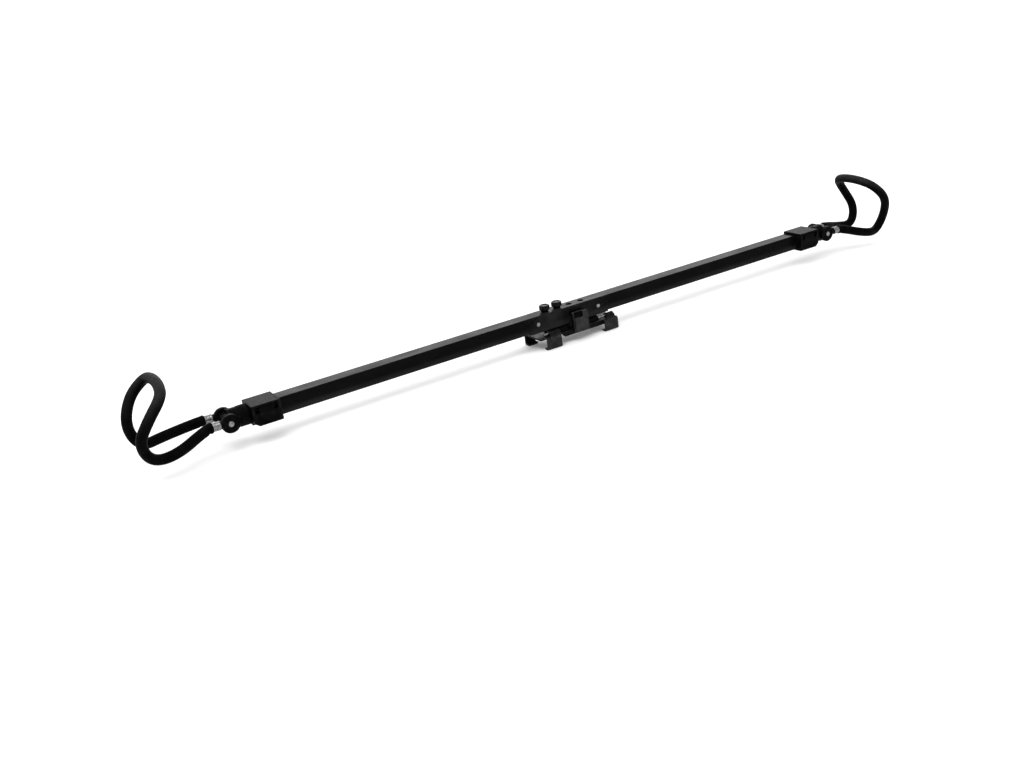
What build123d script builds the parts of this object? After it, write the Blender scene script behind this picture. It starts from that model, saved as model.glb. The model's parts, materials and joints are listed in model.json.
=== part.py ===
"""Telescoping cargo bar: square tube, lock collars, hook loops and a sprung centre clamp.

Millimetres.  X runs along the bar, -Y is the front, +Z is up.  Every piece is drawn with
the bar's axis at Z = 0 and is lifted on export, so that the clamp's feet stand on Z = 0.
"""
import os
from build123d import *

# ---- driving dimensions -------------------------------------------------------------
TUBE = 32.0                    # outside of the square tube, the unit of every proportion
TUBE_WALL = 2.0
TUBE_CORNER = 1.6
RUNNING = 0.3                  # gap between the sliding squares
FIT = 0.05                     # gap between pieces of one body

AXIS_HEIGHT = 54.0             # the bar's axis above the clamp's feet

COLLAR_IN = 614.4              # distances from the middle of the bar, along X
COLLAR_OUT = 666.6
TUBE_START = 0.25
TUBE_END = 655.0
LOCK_X = (COLLAR_IN + COLLAR_OUT) / 2
RING_START = 667.2
YOKE_START = 684.5
YOKE_END = 702.4
HOOK_PIVOT_X = 704.0
FERRULE_START = 722.5
SLEEVE_START = 736.8

COLLAR_FRONT = -33.3
COLLAR_BACK = 20.5
COLLAR_BOTTOM = -18.0
COLLAR_TOP = 20.5
BAY_WIDTH = 42.8               # the recess in the collar's front, where the lever lies
BAY_HEIGHT = 32.8
BAY_MIDDLE_Z = 1.4
BAY_FLOOR = -20.0
LEVER_PIN_Y = -28.3
LEVER_PIN_Z = 12.3
LEVER_PIN_R = 2.5
LEVER_PIN_LENGTH = 46.0
PANEL_WIDTH = 42.0
PANEL_HEIGHT = 20.6
PANEL_THICKNESS = 3.6
NECK_WIDTH = 26.0
CAM_RADIUS = 5.0
PAD_WIDTH = 20.0
PAD_HEIGHT = 11.0
PAD_Z = 7.5

INNER_TUBE = TUBE - 2 * TUBE_WALL - 2 * RUNNING
INNER_START = 380.0
INNER_END = 666.9
PLUG = INNER_TUBE - 2 * TUBE_WALL - 2 * FIT
FITTING_START = 628.0
FITTING_PIN_X = 640.0
FITTING_PIN_R = 2.5

RING_END = 684.2
RING_RADIUS = 19.2
FLUTES = 24
BOSS_END = 683.9
BOSS_RADIUS = 14.0
STUB_END = 699.0
STUB_RADIUS = 8.0
SHAFT_GAP = 0.05               # radial clearance of a shaft in its bore
YOKE_RADIUS = 18.6
YOKE_RIM = 2.0
FLANGE_END = 686.5             # inboard of this the yoke is round, beyond it has two flats
YOKE_SCREW_X = 692.7
YOKE_SCREW_R = 2.45

TONGUE_HALF = 16.2             # half widths, measured from the bar's centre plane
TONGUE_RADIUS = 11.0
WASHER_INNER = 16.5
WASHER_THICKNESS = 0.8
EYE_INNER = 17.6
EYE_OUTER = 25.6
EYE_RADIUS = 17.0
NECK_RADIUS = 6.6
NECK_START = 714.5
HOOK_PIN_R = 3.5
LEG_Y = 23.0                   # where the hook's legs leave the eyes
LEG_Z = 1.9
FERRULE_RADIUS = 8.2
ROD_RADIUS = 5.85
SLEEVE_RADIUS = 9.8
LOOP_TWIST = 2.8               # degrees the loop is turned about the bar beyond its ferrules
LOOP_LIFT = {-1: 2.3, 1: 0.0}  # degrees each loop rests above level, turned on its pin

SPLICE_HALF = 110.0
SPLICE_WALL = 3.0
SADDLE_HALF = 93.0
SADDLE_WALL = 2.2
SADDLE_TOP = 14.0
RIVET_X = {-1: -73.4, 1: 70.0}
RIVET_R = 2.5
SCREW_PITCH = 28.5
FIRST_SCREW_X = -44.8
THUMB_STUD_R = 3.95
THUMB_NECK_R = 7.5
THUMB_NECK = 3.6
THUMB_HEAD_R = 10.7
THUMB_HEAD = 9.4
ACCESSORY_HOLE_R = 6.5

WEB_TOP = -29.5                # the clamp's base plate
WEB_THICKNESS = 3.5
BASE_LEFT = -77.0
BASE_RIGHT = 105.6
BASE_FRONT = -24.0
BASE_BACK = 38.0
SEAT_Z = -40.0
FOOT_Z = -AXIS_HEIGHT
PLATE = 3.2                    # thickness of the jaws
SHAFT_Y = -19.5                # the shaft that the front jaws swing on
SHAFT_Z = -24.0
SHAFT_R = 3.0
KNUCKLE_R = 5.0
EARS = ((-31.0, -4.0), (33.4, 64.0))     # stretches of the pedestal's bearing blocks
SKIRT_ENDS = (-19.0, 80.0)
SKIRT = 3.0
BASE_SCREWS = [(-30.0, 7.0), (-30.0, -5.0), (50.0, 7.0), (50.0, -5.0)]
BASE_SCREW_R = 2.5
LEVER_LEFT = -2.6              # the squeeze lever's ends along X
LEVER_RIGHT = 32.0
LEVER_STEP = 19.8              # where its front steps up
LEVER_FRONT = -37.0
LEVER_BACK = -28.2
LEVER_LOW_TOP = -4.7
LEVER_HIGH_TOP = 7.0
LEVER_BOTTOM = -32.0
LEVER_SHEET = 3.0

SIDES = {-1: "left", 1: "right"}

os.makedirs("parts", exist_ok=True)


def save(piece, node):
    """Label a finished piece, stand it at its height and write it."""
    placed = Pos(0, 0, AXIS_HEIGHT) * piece
    placed.label = node
    export_step(placed, f"parts/{node}.step")


def across(x):
    """The plane square to the bar at X = x: its own axes are Y and Z."""
    return Plane(origin=(x, 0, 0), x_dir=(0, 1, 0), z_dir=(1, 0, 0))


def span(side, near, far):
    """The plane at the lower-X end of a stretch from near to far, on one side of the bar."""
    return across(near if side > 0 else -far)


def resting_lift(side):
    """The move that lifts a hook's pieces about its pin to where it rests."""
    pin = Pos(side * HOOK_PIVOT_X, 0, 0)
    return pin * Rot(0, -side * LOOP_LIFT[side], 0) * pin.inverse()


def square_section(plane, outside, wall, corner):
    """The section of a square tube on a plane."""
    inside = outside - 2 * wall
    with BuildSketch(plane) as section:
        RectangleRounded(outside, outside, corner)
        RectangleRounded(inside, inside, 0.5, mode=Mode.SUBTRACT)
    return section.sketch


# ---- tubes --------------------------------------------------------------------------
def make_tube(side):
    """Outer half tube, holed for the rivet, the top screws and the brake pad."""
    with BuildPart() as tube:
        section = square_section(span(side, TUBE_START, TUBE_END), TUBE, TUBE_WALL, TUBE_CORNER)
        extrude(section, amount=TUBE_END - TUBE_START)
        with BuildSketch(Plane.XZ.offset(-TUBE)):
            with Locations((RIVET_X[side], 0)):
                Circle(RIVET_R + SHAFT_GAP)
        extrude(amount=2 * TUBE, mode=Mode.SUBTRACT)
        holes = (0, 1) if side < 0 else (2, 3)
        radius = THUMB_STUD_R + SHAFT_GAP if side < 0 else ACCESSORY_HOLE_R
        with BuildSketch(Plane.XY.offset(TUBE / 2 - TUBE_WALL - 1)):
            with Locations([(FIRST_SCREW_X + n * SCREW_PITCH, 0) for n in holes]):
                Circle(radius)
        extrude(amount=TUBE_WALL + 2, mode=Mode.SUBTRACT)
        with BuildSketch(Plane.XZ.offset(TUBE / 2 - TUBE_WALL - 0.5)):
            with Locations((side * LOCK_X, PAD_Z)):
                Rectangle(PAD_WIDTH + 2 * RUNNING, PAD_HEIGHT + 2 * RUNNING)
        extrude(amount=TUBE_WALL + 1, mode=Mode.SUBTRACT)
    return tube


def make_inner_tube(side):
    """Sliding inner tube, cross-drilled for the pin that holds its end fitting."""
    with BuildPart() as inner:
        section = square_section(span(side, INNER_START, INNER_END), INNER_TUBE, TUBE_WALL, 1.4)
        extrude(section, amount=INNER_END - INNER_START)
        with BuildSketch(Plane.XY.offset(-INNER_TUBE)):
            with Locations((side * FITTING_PIN_X, 0)):
                Circle(FITTING_PIN_R + SHAFT_GAP)
        extrude(amount=2 * INNER_TUBE, mode=Mode.SUBTRACT)
    return inner


def make_slide_bush(side):
    """Plastic end bush that guides the inner tube inside the outer one."""
    flange = 4.0
    depth = 20.0
    with BuildPart() as bush:
        with BuildSketch(span(side, INNER_START - flange, INNER_START)):
            RectangleRounded(INNER_TUBE + RUNNING, INNER_TUBE + RUNNING, 1.4)
        extrude(amount=flange)
        with BuildSketch(span(side, INNER_START, INNER_START + depth)):
            RectangleRounded(PLUG, PLUG, 0.6)
        extrude(amount=depth)
        with BuildSketch(span(side, INNER_START - flange, INNER_START + depth)):
            Circle(6)
        extrude(amount=flange + depth, mode=Mode.SUBTRACT)
    return bush


# ---- lock collars -------------------------------------------------------------------
def make_collar(side):
    """Moulded sleeve on the tube's end, with the lever's bay on its front and grip ribs."""
    middle = ((COLLAR_FRONT + COLLAR_BACK) / 2, (COLLAR_TOP + COLLAR_BOTTOM) / 2)
    depth = COLLAR_BACK - COLLAR_FRONT
    height = COLLAR_TOP - COLLAR_BOTTOM
    with BuildPart() as collar:
        with BuildSketch(span(side, COLLAR_IN, COLLAR_OUT)):
            with Locations(middle):
                RectangleRounded(depth, height, 2.0)
        extrude(amount=COLLAR_OUT - COLLAR_IN)
        for rim in (COLLAR_IN + 1.4, COLLAR_OUT - 2.2):
            with BuildSketch(span(side, rim, rim + 0.8)):
                with Locations(middle):
                    Rectangle(depth + 2, height + 2)
                    RectangleRounded(depth - 1.2, height - 1.2, 1.6, mode=Mode.SUBTRACT)
            extrude(amount=0.8, mode=Mode.SUBTRACT)
        for plane, amount in ((Plane.XZ.offset(TUBE / 2 + 2), 20), (Plane.XZ.offset(-TUBE), 14)):
            with BuildSketch(plane):
                with BuildLine():
                    corner = side * COLLAR_OUT
                    Polyline((corner, COLLAR_BOTTOM), (corner - side * 9, COLLAR_BOTTOM),
                             (corner, COLLAR_BOTTOM + 7), close=True)
                make_face()
            extrude(amount=amount, mode=Mode.SUBTRACT)
        with BuildSketch(span(side, COLLAR_IN, TUBE_END)):
            RectangleRounded(TUBE + 2 * FIT, TUBE + 2 * FIT, TUBE_CORNER)
        extrude(amount=TUBE_END - COLLAR_IN, mode=Mode.SUBTRACT)
        with BuildSketch(span(side, TUBE_END, COLLAR_OUT)):
            RectangleRounded(INNER_TUBE + 2 * RUNNING, INNER_TUBE + 2 * RUNNING, 1.0)
        extrude(amount=COLLAR_OUT - TUBE_END, mode=Mode.SUBTRACT)
        with BuildSketch(Plane.XZ.offset(-BAY_FLOOR)):
            with Locations((side * LOCK_X, BAY_MIDDLE_Z)):
                Rectangle(BAY_WIDTH, BAY_HEIGHT)
        extrude(amount=20, mode=Mode.SUBTRACT)
        with BuildSketch(Plane.XZ.offset(TUBE / 2 - 1)):
            with Locations((side * LOCK_X, PAD_Z)):
                Rectangle(PAD_WIDTH + 2 * RUNNING, PAD_HEIGHT + 2 * RUNNING)
        extrude(amount=6, mode=Mode.SUBTRACT)
        with BuildSketch(across(side * LOCK_X - LEVER_PIN_LENGTH / 2)):
            with Locations((LEVER_PIN_Y, LEVER_PIN_Z)):
                Circle(LEVER_PIN_R + 0.01)
        extrude(amount=LEVER_PIN_LENGTH, mode=Mode.SUBTRACT)
    return collar


def make_lever_pin(side):
    """Cross pin in the collar that the cam lever turns on."""
    with BuildPart() as pin:
        with BuildSketch(across(side * LOCK_X - LEVER_PIN_LENGTH / 2)):
            with Locations((LEVER_PIN_Y, LEVER_PIN_Z)):
                Circle(LEVER_PIN_R)
        extrude(amount=LEVER_PIN_LENGTH)
    return pin


def make_cam_lever(side):
    """Flush lever: a wide finger panel, a neck up to the pin and a cam behind it."""
    with BuildPart() as lever:
        with BuildSketch(across(side * LOCK_X - PANEL_WIDTH / 2)):
            with Locations((-31.5, -4.3)):
                RectangleRounded(PANEL_THICKNESS, PANEL_HEIGHT, 0.8)
        extrude(amount=PANEL_WIDTH)
        with BuildSketch(across(side * LOCK_X - NECK_WIDTH / 2)):
            with Locations((LEVER_PIN_Y, LEVER_PIN_Z)):
                Circle(CAM_RADIUS)
            with Locations((LEVER_PIN_Y + 0.7, LEVER_PIN_Z)):
                Circle(CAM_RADIUS - 0.5)
            with Locations((-30.8, 8.15)):
                Rectangle(5.0, 8.3)
        extrude(amount=NECK_WIDTH)
        with BuildSketch(across(side * LOCK_X - NECK_WIDTH / 2)):
            with Locations((LEVER_PIN_Y, LEVER_PIN_Z)):
                Circle(LEVER_PIN_R + SHAFT_GAP)
        extrude(amount=NECK_WIDTH, mode=Mode.SUBTRACT)
        with BuildSketch(Plane.XZ.offset(29)):
            with Locations((side * LOCK_X, -14.6)):
                SlotOverall(16, 5)
        extrude(amount=6, mode=Mode.SUBTRACT)
    return lever


def make_brake_pad(side):
    """Block between the cam and the inner tube, through the tube's window."""
    near_tube = INNER_TUBE / 2 + 0.1
    near_cam = -LEVER_PIN_Y - CAM_RADIUS - 0.35
    with BuildPart() as pad:
        with BuildSketch(Plane.XZ.offset(near_tube)):
            with Locations((side * LOCK_X, PAD_Z)):
                RectangleRounded(PAD_WIDTH, PAD_HEIGHT, 1)
        extrude(amount=near_cam - near_tube)
    return pad


# ---- end fittings -------------------------------------------------------------------
def make_end_fitting(side):
    """Plug in the inner tube, threaded boss for the lock ring, and stub for the yoke."""
    groove = 5.4
    with BuildPart() as fitting:
        with BuildSketch(span(side, FITTING_START, INNER_END)):
            RectangleRounded(PLUG, PLUG, 0.6)
        extrude(amount=INNER_END - FITTING_START)
        for start, end, radius in ((INNER_END, BOSS_END, BOSS_RADIUS), (BOSS_END, STUB_END, STUB_RADIUS)):
            with BuildSketch(span(side, start, end)):
                Circle(radius)
            extrude(amount=end - start)
        with BuildSketch(span(side, YOKE_SCREW_X - groove / 2, YOKE_SCREW_X + groove / 2)):
            Circle(STUB_RADIUS + 1)
            Circle(6.4, mode=Mode.SUBTRACT)
        extrude(amount=groove, mode=Mode.SUBTRACT)
        with BuildSketch(Plane.XY.offset(-INNER_TUBE)):
            with Locations((side * FITTING_PIN_X, 0)):
                Circle(FITTING_PIN_R + SHAFT_GAP)
        extrude(amount=2 * INNER_TUBE, mode=Mode.SUBTRACT)
    return fitting


def make_fitting_pin(side):
    """Roll pin that holds the end fitting in the inner tube."""
    with BuildPart() as pin:
        with BuildSketch(Plane.XY.offset(-INNER_TUBE / 2 + 0.1)):
            with Locations((side * FITTING_PIN_X, 0)):
                Circle(FITTING_PIN_R)
        extrude(amount=INNER_TUBE - 0.2)
    return pin


def make_lock_ring(side):
    """Fluted ring that clamps the yoke once the loop is turned to its angle."""
    length = RING_END - RING_START
    with BuildPart() as ring:
        with BuildSketch(span(side, RING_START, RING_END)):
            Circle(RING_RADIUS)
        extrude(amount=length)
        chamfer(ring.edges().filter_by(GeomType.CIRCLE), length=1.2)
        with BuildSketch(span(side, RING_START, RING_END)):
            Circle(BOSS_RADIUS + SHAFT_GAP)
        extrude(amount=length, mode=Mode.SUBTRACT)
        with BuildSketch(span(side, RING_START, RING_END)):
            with PolarLocations(RING_RADIUS + 0.7, FLUTES):
                Circle(1.5)
        extrude(amount=length, mode=Mode.SUBTRACT)
    return ring


def make_yoke(side):
    """Swivel head: round flange, two flats for the eyes, and the tongue for the hook's pin."""
    with BuildPart() as yoke:
        with BuildSketch(span(side, YOKE_START, YOKE_END)):
            Circle(YOKE_RADIUS)
        extrude(amount=YOKE_END - YOKE_START)
        with BuildSketch(span(side, YOKE_END - YOKE_RIM, YOKE_END)):
            Circle(YOKE_RADIUS + 0.8)
        extrude(amount=YOKE_RIM)
        with BuildSketch(span(side, FLANGE_END, YOKE_END)):
            for way in (-1, 1):
                with Locations((way * (TONGUE_HALF + 5), 0)):
                    Rectangle(10, 3 * YOKE_RADIUS)
        extrude(amount=YOKE_END - FLANGE_END, mode=Mode.SUBTRACT)
        with BuildSketch(Plane.XZ.offset(-TONGUE_HALF)):
            with Locations((side * HOOK_PIVOT_X, 0)):
                Circle(TONGUE_RADIUS)
            with Locations((side * (HOOK_PIVOT_X - 2), 0)):
                Rectangle(4, 2 * TONGUE_RADIUS)
        extrude(amount=2 * TONGUE_HALF)
        with BuildSketch(Plane.XZ.offset(-TONGUE_HALF)):
            with Locations((side * HOOK_PIVOT_X, 0)):
                Circle(HOOK_PIN_R + SHAFT_GAP)
        extrude(amount=2 * TONGUE_HALF, mode=Mode.SUBTRACT)
        with BuildSketch(span(side, YOKE_START, STUB_END + 0.4)):
            Circle(STUB_RADIUS + SHAFT_GAP)
        extrude(amount=STUB_END + 0.4 - YOKE_START, mode=Mode.SUBTRACT)
        with BuildSketch(Plane.XY.offset(-25)):
            with Locations((side * YOKE_SCREW_X, 0)):
                Circle(YOKE_SCREW_R + SHAFT_GAP)
        extrude(amount=20, mode=Mode.SUBTRACT)
    return yoke


def make_retainer(side):
    """Set screw in the yoke, its tip in the stub's groove."""
    socket = 3.0
    with BuildPart() as screw:
        with BuildSketch(Plane.XY.offset(-YOKE_RADIUS)):
            with Locations((side * YOKE_SCREW_X, 0)):
                Circle(YOKE_SCREW_R)
                RegularPolygon(1.3, 6, mode=Mode.SUBTRACT)
        extrude(amount=socket)
        with BuildSketch(Plane.XY.offset(-YOKE_RADIUS + socket)):
            with Locations((side * YOKE_SCREW_X, 0)):
                Circle(YOKE_SCREW_R)
        extrude(amount=9)
    return screw


# ---- hook loops ---------------------------------------------------------------------
LOOP_CORNERS = [               # corners of one leg beyond the ferrule: along, out, up, bend radius
    (746.0, LEG_Y, LEG_Z, 34),
    (805.8, 45.9, -17.3, 68),
    (846.4, 37.9, -21.9, 25),
    (863.6, 45.4, 17.3, 54),
    (845.2, 64.0, 60.6, 64),
    (815.0, 54.3, 92.6, 18),
    (808.8, 20.2, 100.8, 100),
]


def loop_route(side, start):
    """The loop's centre line: out along the front leg, over the top, back along the rear leg."""
    front = [Vector(side * along, -out, up) for along, out, up, bend in LOOP_CORNERS]
    rear = [Vector(corner.X, -corner.Y, corner.Z) for corner in reversed(front)]
    first, last = front[0], rear[-1]
    turned = [corner.rotate(Axis.X, LOOP_TWIST) for corner in front[1:] + rear[:-1]]
    ends = [Vector(side * start, -LEG_Y, LEG_Z), Vector(side * start, LEG_Y, LEG_Z)]
    bends = [corner[3] for corner in LOOP_CORNERS]
    return [ends[0], first] + turned + [last, ends[1]], bends + bends[::-1]


def swept_loop(side, start, outer, inner=0.0):
    """A round rod or hose swept along the loop."""
    points, bends = loop_route(side, start)
    with BuildPart() as piece:
        with BuildLine() as route:
            FilletPolyline(*points, radius=bends)
        with BuildSketch(Plane(origin=points[0], x_dir=(0, 1, 0), z_dir=(side, 0, 0))):
            Circle(outer)
            if inner:
                Circle(inner, mode=Mode.SUBTRACT)
        sweep(path=route.wires()[0])
    return piece


def make_rod(side):
    """Steel rod of the loop, from ferrule to ferrule."""
    return swept_loop(side, FERRULE_START + 0.2, ROD_RADIUS)


def make_sleeve(side):
    """Rubber hose drawn over the rod."""
    return swept_loop(side, SLEEVE_START, SLEEVE_RADIUS, ROD_RADIUS + FIT)


def make_eyes(side):
    """Forged eyes of the hook's two legs, with the necks that enter the ferrules."""
    with BuildPart() as eyes:
        for face in (EYE_INNER, -EYE_OUTER):
            with BuildSketch(Plane.XZ.offset(face)):
                with Locations((side * HOOK_PIVOT_X, 0)):
                    Circle(EYE_RADIUS)
                with Locations((side * NECK_START, LEG_Z)):
                    Circle(NECK_RADIUS)
                make_hull()
            extrude(amount=EYE_OUTER - EYE_INNER)
        chamfer(eyes.edges().filter_by(GeomType.CIRCLE), length=1.0)
        with BuildSketch(span(side, NECK_START, FERRULE_START)):
            with Locations((LEG_Y, LEG_Z), (-LEG_Y, LEG_Z)):
                Circle(NECK_RADIUS)
        extrude(amount=FERRULE_START - NECK_START)
        with BuildSketch(Plane.XZ.offset(-EYE_OUTER)):
            with Locations((side * HOOK_PIVOT_X, 0)):
                Circle(HOOK_PIN_R + FIT)
        extrude(amount=2 * EYE_OUTER, mode=Mode.SUBTRACT)
    return eyes


def make_ferrules(side):
    """Bright ribbed ferrules between the eyes and the rubber."""
    end = SLEEVE_START - 0.3
    with BuildPart() as ferrules:
        with BuildSketch(span(side, FERRULE_START, end)):
            with Locations((LEG_Y, LEG_Z), (-LEG_Y, LEG_Z)):
                Circle(FERRULE_RADIUS)
                Circle(ROD_RADIUS + FIT, mode=Mode.SUBTRACT)
        extrude(amount=end - FERRULE_START)
        for groove in (726.0, 729.5, 733.0):
            with BuildSketch(span(side, groove, groove + 1)):
                with Locations((LEG_Y, LEG_Z), (-LEG_Y, LEG_Z)):
                    Circle(FERRULE_RADIUS + 1)
                    Circle(FERRULE_RADIUS - 0.5, mode=Mode.SUBTRACT)
            extrude(amount=1, mode=Mode.SUBTRACT)
    return ferrules


def make_hook_pin(side):
    """Clevis rivet through both eyes and the tongue, with a low dome on each end."""
    with BuildPart() as pin:
        with BuildSketch(Plane.XZ.offset(-EYE_OUTER)):
            with Locations((side * HOOK_PIVOT_X, 0)):
                Circle(HOOK_PIN_R)
        extrude(amount=2 * EYE_OUTER)
        for face, way in ((EYE_OUTER, 1), (-EYE_OUTER, -1)):
            with BuildSketch(Plane.XZ.offset(face)):
                with Locations((side * HOOK_PIVOT_X, 0)):
                    Circle(5.2)
            extrude(amount=way * 2.2, taper=20)
    return pin


def make_washers(side):
    """Thrust washers between the tongue and the eyes."""
    with BuildPart() as washers:
        for face in (WASHER_INNER, -WASHER_INNER - WASHER_THICKNESS):
            with BuildSketch(Plane.XZ.offset(face)):
                with Locations((side * HOOK_PIVOT_X, 0)):
                    Circle(9)
                    Circle(HOOK_PIN_R + FIT, mode=Mode.SUBTRACT)
            extrude(amount=WASHER_THICKNESS)
    return washers


# ---- centre: splice, saddle and screws ------------------------------------------------
def make_splice():
    """Square tube inside the joint, tapped for the top screws and holed for the rivets."""
    outside = TUBE - 2 * TUBE_WALL - 2 * FIT
    with BuildPart() as splice:
        section = square_section(across(-SPLICE_HALF), outside, SPLICE_WALL, 0.8)
        extrude(section, amount=2 * SPLICE_HALF)
        with BuildSketch(Plane.XZ.offset(-TUBE)):
            with Locations([(x, 0) for x in RIVET_X.values()]):
                Circle(RIVET_R + SHAFT_GAP)
        extrude(amount=2 * TUBE, mode=Mode.SUBTRACT)
        for first, radius in ((0, THUMB_STUD_R + SHAFT_GAP), (2, ACCESSORY_HOLE_R)):
            with BuildSketch(Plane.XY.offset(5)):
                with Locations([(FIRST_SCREW_X + n * SCREW_PITCH, 0) for n in (first, first + 1)]):
                    Circle(radius)
            extrude(amount=12, mode=Mode.SUBTRACT)
    return splice


def make_saddle():
    """Channel under the tube whose cheeks are riveted through it."""
    outer = TUBE + 2 * FIT + 2 * SADDLE_WALL
    bottom = -TUBE / 2 - FIT - SADDLE_WALL
    with BuildPart() as saddle:
        with BuildSketch(across(-SADDLE_HALF)):
            with Locations((0, (SADDLE_TOP + bottom) / 2)):
                RectangleRounded(outer, SADDLE_TOP - bottom, 2.2)
            with Locations((0, 0)):
                Rectangle(TUBE + 2 * FIT, TUBE + 2 * FIT, mode=Mode.SUBTRACT)
            with Locations((0, SADDLE_TOP)):
                Rectangle(outer - 2 * SADDLE_WALL, 8, mode=Mode.SUBTRACT)
        extrude(amount=2 * SADDLE_HALF)
        with BuildSketch(Plane.XZ.offset(-TUBE)):
            with Locations([(x, 0) for x in RIVET_X.values()]):
                Circle(RIVET_R + SHAFT_GAP)
        extrude(amount=2 * TUBE, mode=Mode.SUBTRACT)
        with BuildSketch(Plane.XZ.offset(-TUBE)):
            for end in (-1, 1):
                with BuildLine():
                    tip = end * SADDLE_HALF
                    Polyline((tip, SADDLE_TOP), (tip - end * 22, SADDLE_TOP), (tip, 2), close=True)
                make_face()
        extrude(amount=2 * TUBE, mode=Mode.SUBTRACT)
        with BuildSketch(Plane.XY.offset(bottom - 1)):
            with Locations(BASE_SCREWS):
                Circle(BASE_SCREW_R + SHAFT_GAP)
        extrude(amount=SADDLE_WALL + 2, mode=Mode.SUBTRACT)
    return saddle


def make_rivets():
    """Bright through rivets with domed heads on both cheeks."""
    face = TUBE / 2 + FIT + SADDLE_WALL
    with BuildPart() as rivets:
        with BuildSketch(Plane.XZ.offset(-face)):
            with Locations([(x, 0) for x in RIVET_X.values()]):
                Circle(RIVET_R)
        extrude(amount=2 * face)
        for start, way in ((face, 1), (-face, -1)):
            with BuildSketch(Plane.XZ.offset(start)):
                with Locations([(x, 0) for x in RIVET_X.values()]):
                    Circle(4.2)
            extrude(amount=way * 2.0, taper=25)
    return rivets


def make_thumbscrew(number):
    """Fluted thumbscrew on a narrower neck, its stud through the tube and the splice."""
    x = FIRST_SCREW_X + number * SCREW_PITCH
    seat = TUBE / 2 + 0.3
    stud_end = 7.0
    head = seat + THUMB_NECK
    with BuildPart() as screw:
        for start, end, radius in ((stud_end, seat, THUMB_STUD_R), (seat, head, THUMB_NECK_R),
                                   (head, head + THUMB_HEAD, THUMB_HEAD_R)):
            with BuildSketch(Plane.XY.offset(start)):
                with Locations((x, 0)):
                    Circle(radius)
            extrude(amount=end - start)
        rims = screw.edges().filter_by(GeomType.CIRCLE).group_by(Axis.Z)
        chamfer(rims[-1], length=1.6)
        with BuildSketch(Plane.XY.offset(head)):
            with Locations((x, 0)):
                with PolarLocations(THUMB_HEAD_R + 0.6, 14):
                    Circle(1.4)
        extrude(amount=THUMB_HEAD, mode=Mode.SUBTRACT)
    return screw


# ---- centre: clamp ----------------------------------------------------------------------
def make_pedestal():
    """Block between the saddle and the base, with the two bearing blocks of the shaft."""
    saddle_bottom = -TUBE / 2 - FIT - SADDLE_WALL
    height = saddle_bottom - WEB_TOP
    with BuildPart() as pedestal:
        with BuildSketch(across(-45)):
            with Locations((1, saddle_bottom - height / 2)):
                Rectangle(24, height)
        extrude(amount=110)
        for low_x, high_x in EARS:
            with BuildSketch(across(low_x)):
                with Locations((SHAFT_Y, SHAFT_Z)):
                    Circle(KNUCKLE_R)
                with Locations((SHAFT_Y + 5, SHAFT_Z)):
                    Rectangle(10, 2 * KNUCKLE_R)
            extrude(amount=high_x - low_x)
            with BuildSketch(across(low_x)):
                with Locations((SHAFT_Y, SHAFT_Z)):
                    Circle(SHAFT_R + SHAFT_GAP)
            extrude(amount=high_x - low_x, mode=Mode.SUBTRACT)
        with BuildSketch(Plane.XY.offset(WEB_TOP - 1)):
            with Locations(BASE_SCREWS):
                Circle(BASE_SCREW_R + SHAFT_GAP)
        extrude(amount=height + 2, mode=Mode.SUBTRACT)
    return pedestal


def bent_plate(plane, points, radius=2.4):
    """The section of a bent plate along a line of points on a plane."""
    with BuildSketch(plane) as section:
        with BuildLine() as bend:
            FilletPolyline(*points, radius=radius)
        trace(bend.edges(), line_width=PLATE)
    return section.sketch


def make_base():
    """Base plate with the rear hooks bent down from it and the seat's skirts."""
    under = WEB_TOP - WEB_THICKNESS
    web_middle = WEB_TOP - WEB_THICKNESS / 2
    web_back = BASE_BACK - 4
    rear = BASE_BACK - PLATE / 2
    foot = FOOT_Z + PLATE / 2
    skirt = SEAT_Z + 0.4
    with BuildPart() as base:
        with BuildSketch(Plane.XY.offset(under)):
            with Locations(((BASE_LEFT + BASE_RIGHT) / 2, (BASE_FRONT + web_back) / 2)):
                RectangleRounded(BASE_RIGHT - BASE_LEFT, web_back - BASE_FRONT, 2)
        extrude(amount=WEB_THICKNESS)
        for low_x, high_x in ((BASE_LEFT, -40.0), (72.0, BASE_RIGHT)):
            hook = bent_plate(across(low_x), [(rear - 12, web_middle), (rear, web_middle),
                                              (rear, foot), (rear - 13, foot)])
            extrude(hook, amount=high_x - low_x)
        for front_y in (BASE_FRONT, 27.0):
            with BuildSketch(across(SKIRT_ENDS[0])):
                with Locations((front_y + SKIRT / 2, (WEB_TOP - 1 + skirt) / 2)):
                    Rectangle(SKIRT, WEB_TOP - 1 - skirt)
            extrude(amount=SKIRT_ENDS[1] - SKIRT_ENDS[0])
        with BuildSketch(Plane.XY.offset(under - 1)):
            with Locations(BASE_SCREWS):
                Circle(BASE_SCREW_R + SHAFT_GAP)
        extrude(amount=WEB_THICKNESS + 2, mode=Mode.SUBTRACT)
        with BuildSketch(Plane.XZ.offset(-BASE_BACK - 1)):
            with BuildLine():
                Polyline((-40, FOOT_Z), (-58, FOOT_Z), (-40, FOOT_Z + 14), close=True)
            make_face()
        extrude(amount=18, mode=Mode.SUBTRACT)
    return base


def make_seat_pads():
    """Rubber strips that the rail bears on, between the skirts."""
    with BuildPart() as pads:
        with BuildSketch(Plane.XY.offset(SEAT_Z)):
            with Locations((26.5, -15.5), (26.5, 20.5)):
                RectangleRounded(88, 10, 1)
        extrude(amount=WEB_TOP - WEB_THICKNESS - SEAT_Z)
    return pads


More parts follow.
